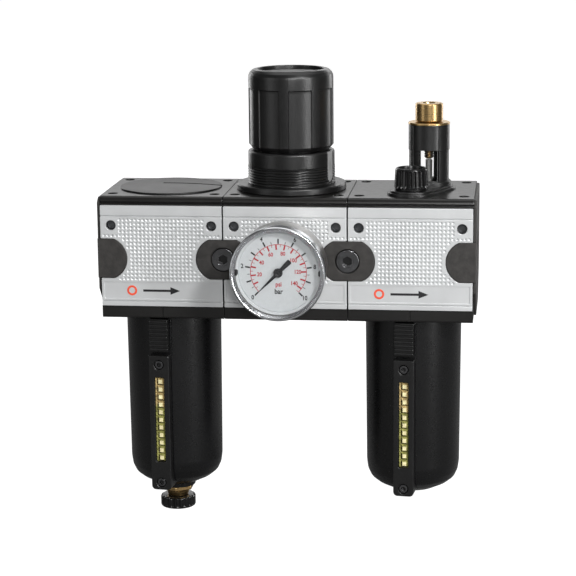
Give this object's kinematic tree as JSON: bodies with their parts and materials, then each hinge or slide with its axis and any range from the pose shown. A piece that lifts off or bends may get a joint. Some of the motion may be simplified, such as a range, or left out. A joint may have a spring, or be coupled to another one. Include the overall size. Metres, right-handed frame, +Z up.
{
  "type": "filter regulator lubricator",
  "caption": "Modular air preparation unit: filter and lubricator with long latched metal bowls, between them a pressure regulator with a tall knob and a dial gauge.",
  "frame": {"origin": "centre of the inlet port's mouth, on the flow axis, at the filter body's left end face", "axes": "+X along the air flow from inlet to outlet, -Y towards the gauge and the front plates, +Z up along the regulator's knob"},
  "size_m": [0.213, 0.1076, 0.2603],
  "materials": {
    "body_black": "satin black coat on die-cast metal",
    "bowl_black": "semi-gloss black coat",
    "trim_silver": "silver metallic plastic with a fine raised pattern",
    "plastic_black": "satin black moulding",
    "plastic_grey": "dark grey moulding",
    "brass": "turned brass",
    "steel": "zinc-plated steel",
    "steel_black": "black-oxide steel",
    "spring_steel": "bright spring wire",
    "gauge_steel": "bright steel",
    "dial_white": "white with printed scales",
    "pointer_black": "matt black",
    "clear": "clear, gloss",
    "sight_clear": "clear prismatic sight glass",
    "sinter_bronze": "porous sintered bronze",
    "vane_white": "white moulding",
    "rubber_black": "matt",
    "cap_grey": "satin dark grey moulding"
  },
  "bodies": {
    "housing": {"filter_body": "body_black", "filter_top_cap": "cap_grey", "filter_trim_plate": "trim_silver", "filter_element": "sinter_bronze", "filter_swirl_vane": "vane_white", "filter_baffle_bolt": "vane_white", "regulator_body": "body_black", "regulator_trim_plate": "trim_silver", "regulator_bonnet": "plastic_black", "main_spring": "spring_steel", "valve_spring": "spring_steel", "regulator_bottom_plug": "plastic_black", "gauge_port_plug": "brass", "gauge_case": "gauge_steel", "gauge_bezel": "gauge_steel", "gauge_window": "clear", "gauge_dial": "dial_white", "gauge_movement": "brass", "gauge_stem": "brass", "lubricator_body": "body_black", "lubricator_trim_plate": "trim_silver", "siphon_tube": "vane_white", "venturi": "brass", "head_base": "plastic_black", "dome_guard": "plastic_black", "sight_dome": "clear", "drip_nozzle": "brass", "drip_tube": "steel", "end_cover_inlet": "plastic_black", "end_cover_outlet": "plastic_black", "joint_plates": "plastic_black", "joint_screws": "steel_black", "joint_nuts": "steel", "module_seals": "rubber_black", "hole_plugs": "plastic_grey"},
    "filter_bowl_group": {"filter_bowl": "bowl_black", "filter_bowl_seal": "rubber_black", "filter_sight_glass": "sight_clear", "filter_sight_cover": "plastic_black", "filter_sight_screws": "steel_black", "filter_latch_spring": "spring_steel", "drain_body": "brass"},
    "filter_latch_slider": {"filter_latch": "plastic_black"},
    "drain_knob_group": {"drain_knob": "plastic_black"},
    "spindle": {"adjusting_spindle": "brass"},
    "knob": {"adjusting_knob": "plastic_black", "adjusting_knob_disc": "cap_grey"},
    "spring_plate_group": {"spring_plate": "steel"},
    "piston": {"pressure_piston": "vane_white"},
    "valve": {"inlet_valve": "brass"},
    "pointer": {"gauge_pointer": "pointer_black"},
    "lubricator_bowl_group": {"lubricator_bowl": "bowl_black", "lubricator_bowl_seal": "rubber_black", "lubricator_sight_glass": "sight_clear", "lubricator_sight_cover": "plastic_black", "lubricator_sight_screws": "steel_black", "lubricator_latch_spring": "spring_steel"},
    "lubricator_latch_slider": {"lubricator_latch": "plastic_black"},
    "drip_screw_group": {"drip_screw": "brass"},
    "fill_plug_group": {"fill_plug": "plastic_black"}
  },
  "joints": [
    {"name": "filter_bowl_turn", "type": "hinge", "parent": "housing", "child": "filter_bowl_group", "pos_m": [0.035, 0, -0.06], "axis": [0, 0, 1], "range_deg": [0, 45]},
    {"name": "filter_latch_slide", "type": "slide", "parent": "filter_bowl_group", "child": "filter_latch_slider", "axis": [0, 0, -1], "range_m": [0, 0.0022], "stiffness_N_per_m": 900, "springref_m": -0.002, "deforming": ["filter_latch_spring"]},
    {"name": "drain_turn", "type": "hinge", "parent": "filter_bowl_group", "child": "drain_knob_group", "pos_m": [0.035, 0, -0.15], "axis": [0, 0, 1], "range_deg": [-180, 0]},
    {"name": "spindle_turn", "type": "hinge", "parent": "housing", "child": "spindle", "pos_m": [0.105, 0, 0.08], "axis": [0, 0, 1], "range_deg": [-2880, 0]},
    {"name": "knob_lift", "type": "slide", "parent": "spindle", "child": "knob", "axis": [0, 0, 1], "range_m": [0, 0.003]},
    {"name": "spring_plate_travel", "type": "slide", "parent": "housing", "child": "spring_plate_group", "axis": [0, 0, -1], "range_m": [0, 0.0121], "stiffness_N_per_m": 60, "springref_m": -0.005, "deforming": ["main_spring"]},
    {"name": "piston_travel", "type": "slide", "parent": "housing", "child": "piston", "axis": [0, 0, -1], "range_m": [0, 0.0015], "stiffness_N_per_m": 2000, "springref_m": -0.0005},
    {"name": "valve_travel", "type": "slide", "parent": "housing", "child": "valve", "axis": [0, 0, -1], "range_m": [0, 0.0015], "deforming": ["valve_spring"]},
    {"name": "pointer_sweep", "type": "hinge", "parent": "housing", "child": "pointer", "pos_m": [0.105, -0.067, -0.001], "axis": [0, 1, 0], "range_deg": [0, 270], "stiffness_Nm_per_rad": 0.00002, "springref_deg": -17.19},
    {"name": "lubricator_bowl_turn", "type": "hinge", "parent": "housing", "child": "lubricator_bowl_group", "pos_m": [0.175, 0, -0.06], "axis": [0, 0, 1], "range_deg": [0, 45]},
    {"name": "lubricator_latch_slide", "type": "slide", "parent": "lubricator_bowl_group", "child": "lubricator_latch_slider", "axis": [0, 0, -1], "range_m": [0, 0.0022], "stiffness_N_per_m": 900, "springref_m": -0.002, "deforming": ["lubricator_latch_spring"]},
    {"name": "drip_adjust_turn", "type": "hinge", "parent": "housing", "child": "drip_screw_group", "pos_m": [0.1833, 0.003, 0.08], "axis": [0, 0, 1], "range_deg": [0, 720]},
    {"name": "fill_plug_turn", "type": "hinge", "parent": "housing", "child": "fill_plug_group", "pos_m": [0.1745, -0.018, 0.045], "axis": [0, 0, 1], "range_deg": [0, 1080]}
  ],
  "couplings": [
    {"joint": "spring_plate_travel", "follows": "spindle_turn", "m_per_rad": -0.00023873},
    {"joint": "valve_travel", "follows": "piston_travel", "ratio": 1}
  ]
}
